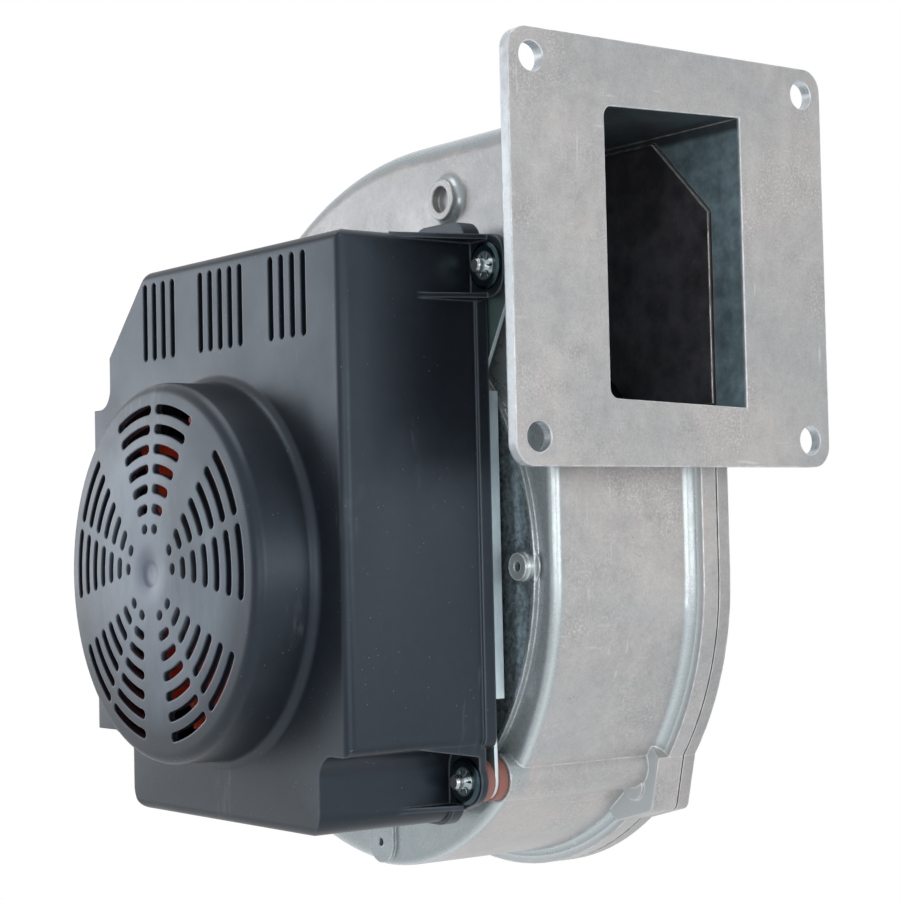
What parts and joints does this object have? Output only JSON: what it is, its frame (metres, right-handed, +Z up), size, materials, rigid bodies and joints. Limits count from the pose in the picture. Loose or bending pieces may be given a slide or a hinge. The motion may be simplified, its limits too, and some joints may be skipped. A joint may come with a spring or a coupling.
{
  "type": "centrifugal blower",
  "caption": "Radial blower: cast scroll with square outlet flange, elastically mounted motor under a slotted dome cover, backward-curved impeller, and an inlet plate with a bell mouth.",
  "frame": {"origin": "centre of the outlet flange's front face", "axes": "+X out of the outlet, normal to the flange face; +Z up, along the side of the flange that the scroll's top wall runs beside; -Y towards the motor, +Y towards the air inlet. The fan axis runs along Y."},
  "size_m": [0.2305, 0.1703, 0.2462],
  "materials": {
    "casting": "as-cast, matt",
    "inlet_plate": "as-cast, matt",
    "gasket": "matt",
    "screws": "zinc plated",
    "seal": "matt",
    "impeller_sheet": "rolled sheet",
    "hub": "turned",
    "steel": "ground",
    "bearing": "polished",
    "magnet": "matt",
    "core": "laminated",
    "insulator": "moulded",
    "copper": "enamelled wire",
    "bracket": "die cast",
    "wheel": "moulded",
    "zinc_plate": "blue zinc",
    "grommet": "matt",
    "washer": "blued spring steel",
    "board": "solder mask",
    "nylon": "moulded",
    "sink": "extruded",
    "capacitor": "sleeved",
    "socket_light": "moulded",
    "socket_dark": "moulded",
    "cover": "fine grain"
  },
  "bodies": {
    "housing": {"volute_housing": "casting", "inlet_cover": "inlet_plate", "inlet_gasket": "gasket", "inlet_cover_screws": "screws", "shaft_seal": "seal", "front_bearing": "bearing", "rear_bearing": "bearing", "stator_core": "core", "stator_insulator": "insulator", "stator_windings": "copper", "front_bearing_bracket": "bracket", "rear_bearing_bracket": "bracket", "bracket_screws": "screws", "plate_screws": "screws", "motor_plate": "zinc_plate", "mounting_pins": "steel", "grommets": "grommet", "push_on_washers": "washer", "circuit_board": "board", "board_standoffs": "nylon", "heat_sink": "sink", "capacitors": "capacitor", "power_socket": "socket_light", "signal_socket": "socket_dark", "motor_cover": "cover"},
    "rotor": {"shaft": "steel", "rotor_core": "core", "rotor_magnet": "magnet", "cooling_wheel": "wheel", "cooling_wheel_clip": "steel", "impeller_backplate": "impeller_sheet", "impeller_blades": "impeller_sheet", "impeller_shroud": "impeller_sheet", "impeller_hub": "hub", "hub_rivets": "steel", "hub_nut": "screws"}
  },
  "joints": [
    {"name": "rotor_spin", "type": "hinge", "parent": "housing", "child": "rotor", "pos_m": [-0.1122, -0.05, -0.0873], "axis": [0, 1, 0], "continuous": true}
  ]
}
